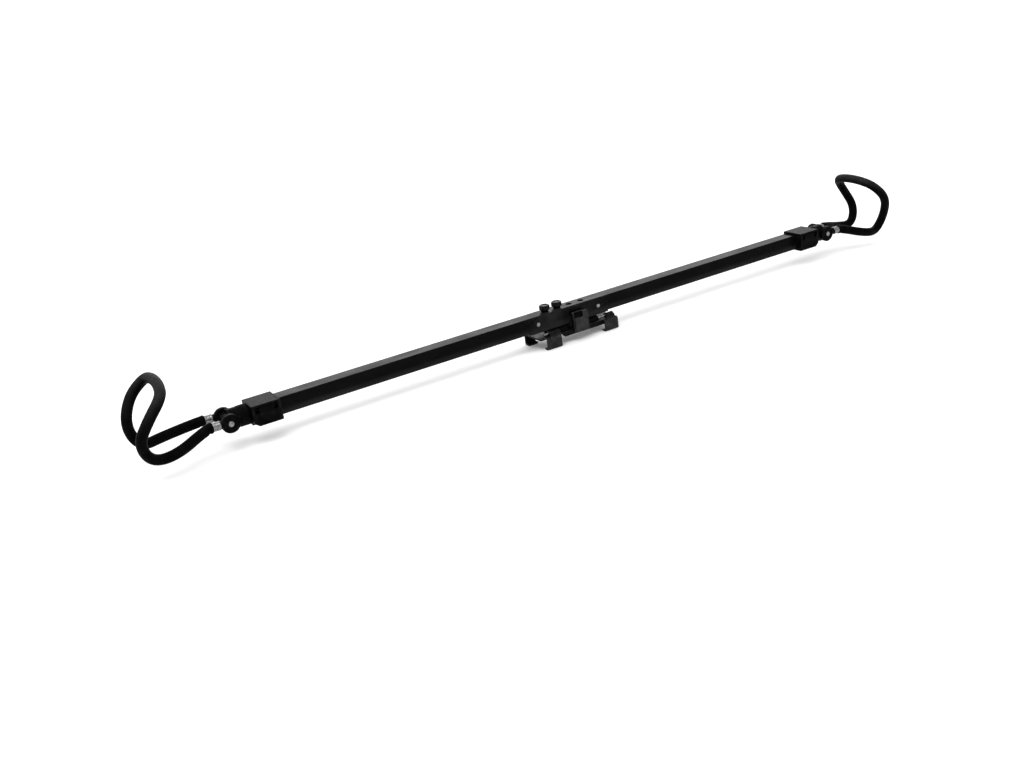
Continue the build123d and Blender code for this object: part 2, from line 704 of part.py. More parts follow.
def make_base_screws():
    """Pan-head screws up through the base and the pedestal into the saddle."""
    under = WEB_TOP - WEB_THICKNESS
    with BuildPart() as screws:
        with BuildSketch(Plane.XY.offset(under)):
            with Locations(BASE_SCREWS):
                Circle(BASE_SCREW_R)
        extrude(amount=-TUBE / 2 - FIT - 0.1 - under)
        with BuildSketch(Plane.XY.offset(under - 2.6)):
            with Locations(BASE_SCREWS):
                Circle(4.2)
                RegularPolygon(1.6, 6, mode=Mode.SUBTRACT)
        extrude(amount=2.6)
    return screws


def make_front_jaw(plate_ends, knuckle_ends):
    """J-shaped jaw: a lip under the rail, a plate in front of it and a knuckle on the shaft."""
    front = BASE_FRONT - 8 + PLATE / 2
    foot = FOOT_Z + PLATE / 2
    shoulder = WEB_TOP - WEB_THICKNESS / 2 + 0.6
    low_x, high_x = plate_ends
    knuckle_low, knuckle_high = knuckle_ends
    with BuildPart() as jaw:
        hook = bent_plate(across(low_x), [(BASE_FRONT - 2.6, shoulder + 1.2), (front, shoulder - 1.2),
                                          (front, foot), (front + 11, foot)])
        extrude(hook, amount=high_x - low_x)
        with BuildSketch(across(knuckle_low)):
            with Locations((SHAFT_Y, SHAFT_Z)):
                Circle(KNUCKLE_R)
            with BuildLine():
                Polyline((SHAFT_Y, SHAFT_Z - KNUCKLE_R + 0.4), (SHAFT_Y - 4.5, SHAFT_Z - KNUCKLE_R + 0.4),
                         (BASE_FRONT - 1, shoulder + 0.2), (front, shoulder - 1.4),
                         (front - 0.8, shoulder + 0.4), (BASE_FRONT - 2.2, SHAFT_Z + 3), close=True)
            make_face()
        extrude(amount=knuckle_high - knuckle_low)
        with BuildSketch(across(knuckle_low)):
            with Locations((SHAFT_Y, SHAFT_Z)):
                Circle(SHAFT_R + 0.02)
        extrude(amount=knuckle_high - knuckle_low, mode=Mode.SUBTRACT)
    return jaw


def make_shaft():
    """Bright shaft that the jaws and the lever are fixed on."""
    with BuildPart() as shaft:
        with BuildSketch(across(-65.6)):
            with Locations((SHAFT_Y, SHAFT_Z)):
                Circle(SHAFT_R)
        extrude(amount=101.0 + 65.6)
        chamfer(shaft.edges().filter_by(GeomType.CIRCLE), length=0.6)
    return shaft


def make_squeeze_lever():
    """Thumb lever: a stepped front on side plates that are fixed on the shaft, and a top rail."""
    inside = LEVER_FRONT + LEVER_SHEET
    with BuildPart() as lever:
        with BuildSketch(Plane.XZ.offset(-inside)):
            with BuildLine():
                Polyline((LEVER_LEFT, LEVER_BOTTOM), (LEVER_RIGHT, LEVER_BOTTOM),
                         (LEVER_RIGHT, LEVER_HIGH_TOP - 3), (LEVER_RIGHT - 3, LEVER_HIGH_TOP),
                         (LEVER_STEP, LEVER_HIGH_TOP), (LEVER_STEP, LEVER_LOW_TOP),
                         (LEVER_LEFT, LEVER_LOW_TOP), close=True)
            make_face()
        extrude(amount=LEVER_SHEET)
        for low_x, top in ((LEVER_LEFT, LEVER_HIGH_TOP), (LEVER_STEP, LEVER_HIGH_TOP),
                           (LEVER_RIGHT - LEVER_SHEET, LEVER_HIGH_TOP - 3)):
            with BuildSketch(across(low_x)):
                with BuildLine():
                    Polyline((inside - 1, LEVER_BOTTOM), (inside - 1, top), (LEVER_BACK, top),
                             (LEVER_BACK + 1.2, LEVER_LOW_TOP), (SHAFT_Y - 4.4, SHAFT_Z + 6),
                             (SHAFT_Y, SHAFT_Z + KNUCKLE_R - 0.3), (SHAFT_Y, SHAFT_Z - KNUCKLE_R + 0.3),
                             (SHAFT_Y - 4.8, SHAFT_Z - 4.7), (LEVER_BACK, LEVER_BOTTOM + 1.5),
                             (LEVER_BACK - 3, LEVER_BOTTOM), close=True)
                make_face()
                with Locations((SHAFT_Y, SHAFT_Z)):
                    Circle(KNUCKLE_R)
            extrude(amount=LEVER_SHEET)
        with BuildSketch(across(LEVER_LEFT)):
            with Locations((LEVER_BACK - 0.9, LEVER_HIGH_TOP - 1)):
                Rectangle(1.8, 2)
        extrude(amount=LEVER_STEP - LEVER_LEFT + 1)
        with BuildSketch(across(LEVER_LEFT)):
            with Locations((SHAFT_Y, SHAFT_Z)):
                Circle(SHAFT_R + 0.02)
        extrude(amount=LEVER_RIGHT - LEVER_LEFT, mode=Mode.SUBTRACT)
    return lever


def make_lever_buffer():
    """Rubber strip on the saddle's cheek that the lever stops against."""
    with BuildPart() as buffer:
        with BuildSketch(Plane.XZ.offset(TUBE / 2 + FIT + SADDLE_WALL)):
            with Locations(((LEVER_LEFT + LEVER_RIGHT) / 2, 3.2)):
                RectangleRounded(30, 8.6, 1)
        extrude(amount=1.4)
    return buffer


def make_clamp_spring():
    """Torsion spring wound round the shaft, between the lever's side plates."""
    start_x = LEVER_LEFT + LEVER_SHEET + 1.6
    with BuildPart() as spring:
        with BuildLine() as coil:
            Helix(pitch=1.9, height=15.2, radius=4.7, center=(start_x, SHAFT_Y, SHAFT_Z),
                  direction=(1, 0, 0))
        start = coil.wires()[0] @ 0
        along = coil.wires()[0] % 0
        with BuildSketch(Plane(origin=start, z_dir=along)):
            Circle(0.65)
        sweep(path=coil.wires()[0], is_frenet=True)
    return spring


# ---- write every piece --------------------------------------------------------------------
SIDE_PIECES = {
    "tube": make_tube,
    "inner_tube": make_inner_tube,
    "slide_bush": make_slide_bush,
    "collar": make_collar,
    "lever_pin": make_lever_pin,
    "cam_lever": make_cam_lever,
    "brake_pad": make_brake_pad,
    "end_fitting": make_end_fitting,
    "fitting_pin": make_fitting_pin,
    "lock_ring": make_lock_ring,
    "swivel_yoke": make_yoke,
    "yoke_screw": make_retainer,
    "hook_eyes": make_eyes,
    "hook_ferrules": make_ferrules,
    "hook_pin": make_hook_pin,
    "hook_washers": make_washers,
    "hook_rod": make_rod,
    "hook_sleeve": make_sleeve,
}

for side, side_name in SIDES.items():
    for piece_name, make_piece in SIDE_PIECES.items():
        piece = make_piece(side).part
        if piece_name.startswith("hook"):
            piece = resting_lift(side) * piece
        save(piece, f"{side_name}_{piece_name}")

save(make_splice().part, "splice_tube")
save(make_saddle().part, "saddle")
save(make_rivets().part, "saddle_rivets")
save(make_thumbscrew(0).part, "thumbscrew_outer")
save(make_thumbscrew(1).part, "thumbscrew_inner")
save(make_pedestal().part, "pedestal")
save(make_base().part, "clamp_base")
save(make_seat_pads().part, "seat_pads")
save(make_base_screws().part, "base_screws")
save(make_front_jaw((-65.6, -32.0), (-55.0, -31.5)).part, "front_jaw_left")
save(make_front_jaw((73.6, BASE_RIGHT), (82.0, 101.0)).part, "front_jaw_right")
save(make_shaft().part, "jaw_shaft")
save(make_squeeze_lever().part, "squeeze_lever")
save(make_lever_buffer().part, "lever_buffer")
save(make_clamp_spring().part, "clamp_spring")
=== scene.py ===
"""Studio model of a telescoping cargo bar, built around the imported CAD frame.  Metres."""
import json
import math
import bmesh
import bpy
from mathutils import Matrix, Quaternion, Vector


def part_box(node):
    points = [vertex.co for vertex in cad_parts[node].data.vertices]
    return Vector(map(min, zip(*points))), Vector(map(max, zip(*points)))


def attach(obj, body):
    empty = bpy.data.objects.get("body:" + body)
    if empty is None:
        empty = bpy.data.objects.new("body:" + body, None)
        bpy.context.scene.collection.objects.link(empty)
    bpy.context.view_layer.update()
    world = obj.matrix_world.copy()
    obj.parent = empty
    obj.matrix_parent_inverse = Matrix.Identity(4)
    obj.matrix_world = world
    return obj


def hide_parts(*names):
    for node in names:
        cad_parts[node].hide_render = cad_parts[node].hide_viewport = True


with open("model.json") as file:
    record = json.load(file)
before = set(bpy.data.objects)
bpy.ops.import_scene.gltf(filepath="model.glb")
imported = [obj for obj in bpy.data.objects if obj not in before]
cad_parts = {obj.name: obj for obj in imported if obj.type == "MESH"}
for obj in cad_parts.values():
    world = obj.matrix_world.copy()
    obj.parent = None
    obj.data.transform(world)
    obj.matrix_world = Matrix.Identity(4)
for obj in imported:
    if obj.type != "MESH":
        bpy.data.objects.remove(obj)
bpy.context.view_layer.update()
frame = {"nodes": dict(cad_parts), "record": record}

NODES = frame["nodes"]
SIDES = {"left": -1, "right": 1}
MM = 0.001


def box_centre(node):
    """The middle of a CAD node's box."""
    low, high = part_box(node)
    return (Vector(low) + Vector(high)) / 2


AXIS_Z = box_centre("left_tube").z
# The bracket paint keeps the lever's left flange in painted shade; these place that band.
FLANGE_MIDDLE = 1.5                # of the lever's left flange, from its outer face
LEVER_FLANGE_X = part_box("squeeze_lever")[0][0] + FLANGE_MIDDLE * MM


# ---- materials ------------------------------------------------------------------------
class Shade:
    """A node material under construction: a Principled shader and helpers that feed it."""

    def __init__(self, name, colour, roughness, metallic=0.0, ior=1.5):
        self.material = bpy.data.materials.new(name)
        self.material.use_nodes = True
        self.tree = self.material.node_tree
        self.shader = self.tree.nodes["Principled BSDF"]
        self.shader.inputs["Base Color"].default_value = (*colour, 1)
        self.shader.inputs["Roughness"].default_value = roughness
        self.shader.inputs["Metallic"].default_value = metallic
        self.shader.inputs["IOR"].default_value = ior
        coordinates = self.tree.nodes.new("ShaderNodeTexCoord")
        self.place = coordinates.outputs["Object"]
        self.surface = coordinates.outputs["Normal"]
        self.normal = None

    def node(self, kind, **values):
        made = self.tree.nodes.new(kind)
        for key, value in values.items():
            if key in made.inputs:
                made.inputs[key].default_value = value
            else:
                setattr(made, key, value)
        return made

    def link(self, start, end):
        self.tree.links.new(start, end)

    def noise(self, scale, detail=4.0, rough=0.55, stretch=(1, 1, 1)):
        mapping = self.node("ShaderNodeMapping")
        mapping.inputs["Scale"].default_value = stretch
        self.link(self.place, mapping.inputs["Vector"])
        texture = self.node("ShaderNodeTexNoise", Scale=scale, Detail=detail, Roughness=rough)
        self.link(mapping.outputs["Vector"], texture.inputs["Vector"])
        return texture.outputs["Fac"]

    def ramp(self, value, low, high, start=(0, 0, 0), end=(1, 1, 1)):
        ramp = self.node("ShaderNodeValToRGB")
        first, last = ramp.color_ramp.elements
        first.position, last.position = low, high
        first.color, last.color = (*start, 1), (*end, 1)
        self.link(value, ramp.inputs["Fac"])
        return ramp.outputs["Color"]

    def greys(self, value, low, high, dark, light):
        return self.ramp(value, low, high, (dark, dark, dark * 1.03), (light, light, light * 1.03))

    def span(self, value, low, high, to_low, to_high):
        ranger = self.node("ShaderNodeMapRange")
        for key, number in zip(("From Min", "From Max", "To Min", "To Max"), (low, high, to_low, to_high)):
            ranger.inputs[key].default_value = number
        self.link(value, ranger.inputs["Value"])
        return ranger.outputs["Result"]

    def times(self, first, second):
        product = self.node("ShaderNodeMath", operation="MULTIPLY")
        self.link(first, product.inputs[0])
        self.link(second, product.inputs[1])
        return product.outputs[0]

    def distance(self, value, centre):
        """How far a value is from a centre."""
        offset = self.node("ShaderNodeMath", operation="SUBTRACT")
        offset.inputs[1].default_value = centre
        self.link(value, offset.inputs[0])
        size = self.node("ShaderNodeMath", operation="ABSOLUTE")
        self.link(offset.outputs[0], size.inputs[0])
        return size.outputs[0]

    def mixed(self, factor, base, over):
        """base with the flat tone over laid on it where factor is 1."""
        mix = self.node("ShaderNodeMix", data_type="RGBA")
        self.link(factor, mix.inputs["Factor"])
        self.link(base, mix.inputs[6])
        mix.inputs[7].default_value = (over, over, over, 1)
        return mix.outputs[2]

    def over(self, factor, flat, top):
        """The flat colour, covered by the socket top where factor is 1."""
        mix = self.node("ShaderNodeMix", data_type="RGBA")
        self.link(factor, mix.inputs["Factor"])
        mix.inputs[6].default_value = flat
        self.link(top, mix.inputs[7])
        return mix.outputs[2]

    def along(self, socket, axis):
        parts = self.node("ShaderNodeSeparateXYZ")
        self.link(socket, parts.inputs["Vector"])
        return parts.outputs[axis]

    def colour(self, socket):
        self.link(socket, self.shader.inputs["Base Color"])

    def roughness(self, value, low, high):
        self.link(self.span(value, 0.3, 0.7, low, high), self.shader.inputs["Roughness"])

    def bump(self, height, distance, strength=1.0):
        bump = self.node("ShaderNodeBump", Strength=strength, Distance=distance)
        self.link(height, bump.inputs["Height"])
        if self.normal:
            self.link(self.normal, bump.inputs["Normal"])
        self.normal = bump.outputs["Normal"]
        self.link(self.normal, self.shader.inputs["Normal"])

    def worn_edges(self, base, worn, amount=0.5, radius=0.9 * MM):
        """Lays a worn tone along sharp edges, broken up by noise."""
        rounded = self.node("ShaderNodeBevel", samples=6, Radius=radius)
        true = self.node("ShaderNodeNewGeometry").outputs["Normal"]
        angle = self.node("ShaderNodeVectorMath", operation="DOT_PRODUCT")
        self.link(rounded.outputs["Normal"], angle.inputs[0])
        self.link(true, angle.inputs[1])
        edge = self.span(angle.outputs["Value"], 0.99, 0.90, 0.0, 1.0)
        broken = self.span(self.noise(170, 6), 0.42, 0.66, 0.15 * amount, amount)
        return self.mixed(self.times(edge, broken), base, worn)


def powder_coat():
    """Satin black powder coat: orange peel, faint cloudiness, worn corners, a scuffed middle and a
    lighter band of painted floor reflection on the lower sides."""
    shade = Shade("black_powder_coat", (0.002, 0.002, 0.0021), 0.3, ior=1.095)
    tone = shade.greys(shade.noise(14, 5, 0.6, (0.35, 1, 1)), 0.35, 0.70, 0.0008, 0.0026)
    # painted reflection: faces below the bar's axis are lightened toward the bottom, standing in for the
    # pale floor reflected in the lower sides; noise streaks break the band up
    low = shade.span(shade.along(shade.place, "Z"), AXIS_Z - 3 * MM, AXIS_Z - 14 * MM, 0.0, 1.0)
    streaks = shade.span(shade.noise(70, 7, 0.7, (0.12, 1, 1)), 0.35, 0.65, 0.3, 1.0)
    tone = shade.mixed(shade.times(low, streaks), tone, 0.019)
    from_middle = shade.distance(shade.along(shade.place, "X"), 0.0)
    handled = shade.span(from_middle, 100 * MM, 55 * MM, 0.0, 1.0)
    patches = shade.span(shade.noise(22, 6, 0.7), 0.38, 0.62, 0.25, 1.0)
    tone = shade.mixed(shade.times(handled, patches), tone, 0.012)
    shade.colour(shade.worn_edges(tone, 0.05))
    shade.roughness(shade.noise(60, 6, 0.6, (0.3, 1, 1)), 0.24, 0.38)
    shade.bump(shade.noise(900, 2, 0.5), 0.00002, 0.5)
    return shade.material


def bracket_paint():
    """Matt black paint on bent plate.  Its foremost forward faces are greyer and coarser than the tube's
    coat;
    all the rest, the lever's left flange included, is blacker with painted shade."""
    shade = Shade("black_bracket_paint", (0.02, 0.02, 0.021), 0.42, ior=1.12)
    tone = shade.greys(shade.noise(60, 7, 0.65), 0.35, 0.72, 0.012, 0.034)
    # painted shade: all but the foremost forward faces, and the lever's left flange too, take a flat
    # near-black in place of the paint's grey
    front_of_painted_shade = shade.span(shade.along(shade.place, "Y"), -27 * MM, -33 * MM, 0.0, 1.0)
    forward = shade.span(shade.along(shade.surface, "Y"), -0.3, -0.9, 0.0, 1.0)
    from_flange = shade.distance(shade.along(shade.place, "X"), LEVER_FLANGE_X)
    clear_of_flange = shade.span(from_flange, 1.4 * MM, 2.1 * MM, 0.0, 1.0)
    outside_painted_shade = shade.times(shade.times(front_of_painted_shade, forward), clear_of_flange)
    # the flat near-black here is the painted shade
    tone = shade.over(outside_painted_shade, (0.0025, 0.0025, 0.0026, 1), tone)
    shade.colour(shade.worn_edges(tone, 0.14, 0.7))
    shade.roughness(shade.noise(90, 5), 0.26, 0.44)
    shade.bump(shade.noise(1300, 3, 0.6), 0.00004, 0.7)
    return shade.material


def cast_metal():
    """Semi-gloss black over cast metal, with the casting's grain showing through."""
    shade = Shade("black_cast_metal", (0.003, 0.003, 0.0031), 0.35, ior=1.08)
    tone = shade.greys(shade.noise(90, 6), 0.35, 0.7, 0.0006, 0.0026)
    shade.colour(shade.worn_edges(tone, 0.05, 0.5))
    shade.roughness(shade.noise(120, 5), 0.30, 0.48)
    shade.bump(shade.noise(520, 5, 0.65), 0.00006, 0.7)
    return shade.material


def nylon():
    """Black glass-filled nylon with a spark-eroded texture."""
    shade = Shade("black_nylon", (0.003, 0.003, 0.0031), 0.34, ior=1.09)
    tone = shade.greys(shade.noise(75, 5), 0.35, 0.7, 0.0007, 0.0024)
    shade.colour(shade.worn_edges(tone, 0.06, 0.45))
    shade.roughness(shade.noise(200, 4), 0.32, 0.46)
    shade.bump(shade.noise(2200, 2, 0.5), 0.00003, 0.6)
    return shade.material


def knob_plastic():
    """Glossy black knob moulding."""
    shade = Shade("knob_plastic", (0.003, 0.003, 0.003), 0.28, ior=1.16)
    shade.colour(shade.greys(shade.noise(90, 4), 0.35, 0.7, 0.001, 0.0030))
    shade.roughness(shade.noise(300, 3), 0.22, 0.36)
    shade.bump(shade.noise(1500, 2), 0.00002, 0.4)
    return shade.material


def rubber():
    """Matt black rubber: faint talc bloom, a pebbled skin and a painted highlight on the loops' tops."""
    shade = Shade("black_rubber", (0.002, 0.002, 0.002), 0.42, ior=1.075)
    tone = shade.greys(shade.noise(42, 7, 0.7), 0.42, 0.75, 0.0004, 0.0026)
    # painted highlight: upward faces high on the loops are lightened, as where the top light falls; noise
    # breaks the patch up
    above = shade.span(shade.along(shade.place, "Z"), AXIS_Z + 35 * MM, AXIS_Z + 100 * MM, 0.0, 1.0)
    upward = shade.span(shade.along(shade.surface, "Z"), -0.2, 0.8, 0.0, 1.0)
    top_light_patches = shade.span(shade.noise(30, 6, 0.7), 0.35, 0.65, 0.5, 1.0)
    tone = shade.mixed(shade.times(shade.times(above, upward), top_light_patches), tone, 0.02)
    shade.colour(tone)
    shade.roughness(shade.noise(85, 5), 0.40, 0.56)
    shade.bump(shade.noise(700, 4, 0.6), 0.00006, 0.6)
    return shade.material


def zinc_steel():
    """Dull zinc plate with spangle."""
    shade = Shade("zinc_steel", (0.5, 0.51, 0.53), 0.38, metallic=1.0)
    shade.colour(shade.ramp(shade.noise(180, 4), 0.3, 0.7, (0.16, 0.165, 0.17), (0.40, 0.41, 0.42)))
    shade.roughness(shade.noise(260, 4), 0.28, 0.48)
    shade.bump(shade.noise(900, 3), 0.00002, 0.5)
    return shade.material


def bright_steel():
    """Bright plated steel with turned lines."""
    shade = Shade("bright_steel", (0.7, 0.7, 0.71), 0.2, metallic=1.0)
    shade.colour(shade.ramp(shade.noise(240, 6, 0.7), 0.3, 0.7, (0.08, 0.081, 0.083), (0.28, 0.28, 0.285)))
    shade.roughness(shade.noise(500, 3, 0.5, (4, 1, 1)), 0.14, 0.30)
    shade.bump(shade.noise(800, 2, 0.5, (6, 1, 1)), 0.00001, 0.5)
    return shade.material


MATERIALS = {
    "black_powder_coat": powder_coat(),
    "black_bracket_paint": bracket_paint(),
    "black_cast_metal": cast_metal(),
    "black_nylon": nylon(),
    "knob_plastic": knob_plastic(),
    "black_rubber": rubber(),
    "zinc_steel": zinc_steel(),
    "bright_steel": bright_steel(),
}


# ---- mesh helpers -------------------------------------------------------------------------
def round_edges(piece, width, segments=2, angle=40):
    bevel = piece.modifiers.new("fine_edges", "BEVEL")
    bevel.width = width
    bevel.segments = segments
    bevel.limit_method = "ANGLE"
    bevel.angle_limit = math.radians(angle)
    bevel.harden_normals = True


def new_piece(name, shape, body, slot, stands_for=(), smooth=True):
    """Turns a bmesh into a piece that rides on a body and takes a record slot's finish."""
    mesh = bpy.data.meshes.new(name)
    bmesh.ops.remove_doubles(shape, verts=shape.verts, dist=0.0001 * MM)
    bmesh.ops.recalc_face_normals(shape, faces=shape.faces)
    shape.to_mesh(mesh)
    shape.free()
    if smooth:
        mesh.shade_smooth()
    mesh.materials.append(MATERIALS[slot])
    piece = bpy.data.objects.new(name, mesh)
    bpy.context.scene.collection.objects.link(piece)
    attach(piece, body)
    if stands_for:
        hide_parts(*stands_for)
    return piece


def skin(shape, rings):
    """Joins rings of vertices, one after another, into a skin."""
    for before, after in zip(rings, rings[1:]):
        count = len(before)
        for n in range(count):
            m = (n + 1) % count
            if len({before[n], before[m], after[m], after[n]}) == 4:
                shape.faces.new((before[n], before[m], after[m], after[n]))


def lathe(shape, profile, turn, around=48, wave=None, hollow=False):
    """Turns a profile of (radius, height) points round the axis of turn, in millimetres.
    wave(angle, height) scales the radius, for flutes.  A hollow profile closes on itself."""
    rings = []
    for radius, height in profile:
        ring = []
        for n in range(around):
            angle = 2 * math.pi * n / around
            reach = radius * (wave(angle, height) if wave else 1.0)
            point = Vector((reach * math.cos(angle), reach * math.sin(angle), height)) * MM
            ring.append(shape.verts.new(turn @ point))
        rings.append(ring)
    if hollow:
        skin(shape, rings + rings[:1])
        return
    skin(shape, rings)
    for ring, radius in ((rings[0], profile[0][0]), (rings[-1], profile[-1][0])):
        if radius > 0.05:
            shape.faces.new(ring)


def towards(place, direction):
    """The move that stands a lathe's axis at a place, pointing in a direction."""
    return Matrix.Translation(place) @ Vector(direction).to_track_quat("Z", "Y").to_matrix().to_4x4()


def soften(piece, levels=1):
    subdivision = piece.modifiers.new("soft", "SUBSURF")
    subdivision.levels = subdivision.render_levels = levels


# ---- carried-over CAD nodes -----------------------------------------------------------------
def finish_cad_nodes():
    """Gives every CAD node its material and a fine bevel that catches the light."""
    for part in frame["record"]["subparts"]:
        node = NODES[part["node"]]
        node.data.materials.clear()
        node.data.materials.append(MATERIALS[part["material_slot"]])
        round_edges(node, 0.35 * MM)


finish_cad_nodes()


# ---- rubber hoses of the hook loops, in millimetres from the bar's middle and axis ---------------
LEG = (23.0, 1.9)                  # the hook's legs leave the eyes here: out from the middle, up
PIVOT_X = 704.0
HOSE_START = 736.8
HOSE_RADIUS = 9.5
HOSE_SIDES = 36
ROD_RADIUS = 5.85
LOOP_TWIST = 2.8                   # degrees about the bar, beyond the straight legs
LOOP_LIFT = {"left": 2.3, "right": 0.0}      # degrees each loop rests above level
LEG_END = 746.0                    # the legs run straight from HOSE_START to here
LIP = (0.55, 2.6, 1.6)             # the hose's rolled end: height, distance from the end, width
WAIST = (0.45, 7.5, 2.4)           # the hollow behind it: depth, distance, width
LOOP_CORNERS = [                   # half of the loop: along the bar, out from the middle, up
    (805.8, 45.9, -17.3),
    (846.4, 37.9, -21.9),
    (863.6, 45.4, 17.3),
    (845.2, 64.0, 60.6),
    (815.0, 54.3, 92.6),
    (808.8, 20.2, 100.8),
]


def loop_points(side):
    """The loop's corners from the front ferrule over the top to the rear one."""
    way = SIDES[side]
    twist = Matrix.Rotation(math.radians(LOOP_TWIST), 4, "X")
    pin = Vector((way * PIVOT_X, 0, 0))
    lift = Matrix.Translation(pin) @ Matrix.Rotation(math.radians(-way * LOOP_LIFT[side]), 4, "Y")
    lift = lift @ Matrix.Translation(-pin)
    out, up = LEG
    straight = [(HOSE_START, out, up), (LEG_END, out, up)]
    front = [Vector((way * x, -y, z)) for x, y, z in straight]
    front += [twist @ Vector((way * x, -y, z)) for x, y, z in LOOP_CORNERS]
    rear = [twist @ Vector((way * x, y, z)) for x, y, z in reversed(LOOP_CORNERS)]
    rear += [Vector((way * x, y, z)) for x, y, z in reversed(straight)]
    height = Vector((0, 0, AXIS_Z))
    return [(lift @ point) * MM + height for point in front + rear]


def smooth_line(points, steps=14):
    """Points along the NURBS line that has the given control points."""
    curve = bpy.data.curves.new("route", "CURVE")
    curve.dimensions = "3D"
    curve.resolution_u = steps
    spline = curve.splines.new("NURBS")
    spline.points.add(len(points) - 1)
    for control, point in zip(spline.points, points):
        control.co = (*point, 1)
    spline.order_u = 3
    spline.use_endpoint_u = True
    route = bpy.data.objects.new("route", curve)
    mesh = bpy.data.meshes.new_from_object(route)
    line = [vertex.co.copy() for vertex in mesh.vertices]
    bpy.data.objects.remove(route)
    bpy.data.curves.remove(curve)
    bpy.data.meshes.remove(mesh)
    return line


def hose_radius(from_end):
    """The hose swells into a rolled lip at each end, and is even in between.  Millimetres."""
    lip, waist = (size * math.exp(-((from_end - place) / width) ** 2)
                  for size, place, width in (LIP, WAIST))
    return HOSE_RADIUS + lip - waist


def add_hose(side):
    """The loop's rubber hose: a swept skin with rolled lips and open ends round the rod."""
    line = smooth_line(loop_points(side))
    lengths = [0.0]
    for before, after in zip(line, line[1:]):
        lengths.append(lengths[-1] + (after - before).length)
    shape = bmesh.new()
    stations = []
    for n, point in enumerate(line):
        ahead = line[min(n + 1, len(line) - 1)] - line[max(n - 1, 0)]
        stations.append((point, ahead.normalized(), lengths[n]))
    fine = [step * MM for step in (0.8, 1.6, 2.6, 3.6, 4.6, 6.0, 7.5, 9.0)]
    plain = 10.5 * MM
    start, along, _ = stations[0]
    finish, back, total = stations[-1]
    near_start = [(start + along * step, along, step) for step in fine]
    near_finish = [(finish - back * step, back, total - step) for step in reversed(fine)]
    middle = [one for one in stations[1:-1] if plain < one[2] < total - plain]
    stations = [stations[0]] + near_start + middle + near_finish + [stations[-1]]
    across = along.orthogonal().normalized()
    rings = []
    for point, ahead, length in stations:
        across = (across - ahead * across.dot(ahead)).normalized()
        beside = ahead.cross(across)
        radius = hose_radius(min(length, total - length) / MM) * MM
        ring = []
        for k in range(HOSE_SIDES):
            angle = 2 * math.pi * k / HOSE_SIDES
            outward = across * math.cos(angle) + beside * math.sin(angle)
            ring.append(shape.verts.new(point + outward * radius))
        rings.append(ring)
    inner_rings = []
    ends = ((stations[0], 1, rings[0]), (stations[-1], -1, rings[-1]))
    for (point, ahead, _), inward, ring in ends:
        turned = []
        for radius, depth in ((HOSE_RADIUS - 1.3, -0.2), (ROD_RADIUS + 0.9, 0.0), (ROD_RADIUS + 0.1, 0.9)):
            centre = point + ahead * inward * depth * MM
            outwards = [(vertex.co - point).normalized() for vertex in ring]
            turned.append([shape.verts.new(centre + outward * radius * MM) for outward in outwards])
        inner_rings.append(turned)
    skin(shape, list(reversed(inner_rings[0])) + rings + inner_rings[1])
    piece = new_piece(f"{side}_hose", shape, f"{side}_hook", "black_rubber", [f"{side}_hook_sleeve"])
    soften(piece)


# ---- turned and moulded pieces ------------------------------------------------------------------
RIVET_RADIUS = 2.5
RIVET_HEAD_RADIUS = 4.2
RIVET_HEAD_RISE = 2.0
RIVET_SHANK = 6.0                  # below the head's seat
PIN_RADIUS = 3.5
PIN_HEAD_RADIUS = 5.2
PIN_HEAD_RISE = 2.2
SHAFT_CHAMFER = 0.6
FERRULE_START = 722.5
FERRULE_LENGTH = 14.0
FERRULE_RADIUS = 8.2
RING_START = 667.2
RING_LENGTH = 17.0
RING_RADIUS = 19.2
RING_BORE = 14.1
RING_FLUTES = 24
RING_FLUTE_DEPTH = 0.045           # a share of the radius
KNOB_SEAT = 16.3                   # above the bar's axis
KNOB_NECK = 3.6
KNOB_NECK_RADIUS = 7.5
KNOB_RADIUS = 10.65
KNOB_RIBS = 14
KNOB_RIB_DEPTH = 0.085             # a share of the radius
STUD_RADIUS = 3.95
STUD_LENGTH = 9.2
COLLAR_GRIP = (1.6, 13.0, 2.3)     # sizes of one rib along X, Y and Z
COLLAR_GRIP_PITCH = 4.6
COLLAR_GRIP_COUNT = 7
COLLAR_GRIP_PLACE = (614.1, -25.0, -13.5)    # the lowest rib, from the bar's middle and axis
FINGER_RIB = (24.0, 0.8, 1.2)
FINGER_RIB_PITCH = 2.6
FINGER_RIB_COUNT = 3
FINGER_RIB_PLACE = (640.5, -33.2, -1.2)      # the lowest rib again


def dome(radius, rise, seat=0.0):
    """The profile of a rivet head: a short wall, a rounded shoulder and a crown."""
    points = [(radius * 0.97, seat), (radius, seat + 0.12 * rise), (radius, seat + 0.3 * rise)]
    for step in range(1, 8):
        angle = step / 8 * math.pi / 2
        points.append((radius * math.cos(angle), seat + rise * (0.3 + 0.7 * math.sin(angle))))
    points.append((0.0, seat + rise))
    return points


def add_rivets():
    """Domed heads on the saddle's cheeks, with their shanks through the bar."""
    low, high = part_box("saddle_rivets")
    shape = bmesh.new()
    shank = [(RIVET_RADIUS, -RIVET_SHANK), (RIVET_RADIUS, -0.1)]
    head = dome(RIVET_HEAD_RADIUS, RIVET_HEAD_RISE)
    for x in (low[0] + RIVET_HEAD_RADIUS * MM, high[0] - RIVET_HEAD_RADIUS * MM):
        for face, way in ((low[1], -1), (high[1], 1)):
            seat = Vector((x, face - way * RIVET_HEAD_RISE * MM, AXIS_Z))
            lathe(shape, shank + head, towards(seat, (0, way, 0)))
    new_piece("cheek_rivets", shape, "bar", "bright_steel", ["saddle_rivets"])


